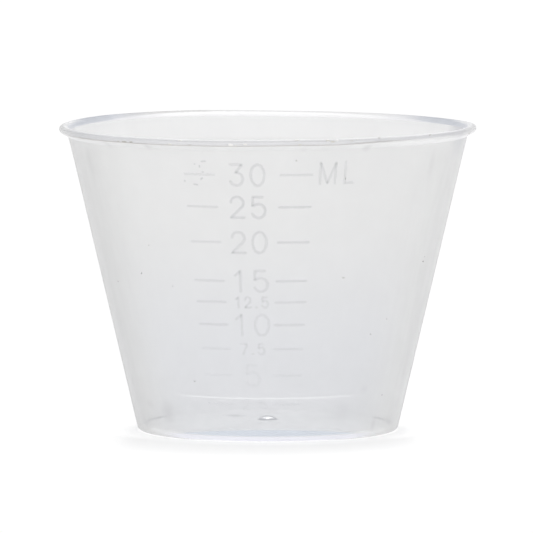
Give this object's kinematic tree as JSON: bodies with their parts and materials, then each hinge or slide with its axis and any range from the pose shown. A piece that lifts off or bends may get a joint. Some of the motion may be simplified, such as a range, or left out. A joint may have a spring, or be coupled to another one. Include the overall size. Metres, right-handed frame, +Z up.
{
  "type": "medicine cup",
  "caption": "Small tapered measuring cup of translucent plastic with a beaded rim, a scale of volumes on its wall and a floor that rises a little to the middle.",
  "frame": {"origin": "centre of the foot ring, on the surface the cup stands on", "axes": "+Z up along the cup's axis; the scale of volumes faces -Y"},
  "size_m": [0.0472, 0.0472, 0.0346],
  "materials": {
    "cup_plastic": "satin, frosted and see-through, natural polypropylene"
  },
  "bodies": {
    "root": {"cup": "cup_plastic"}
  },
  "joints": []
}
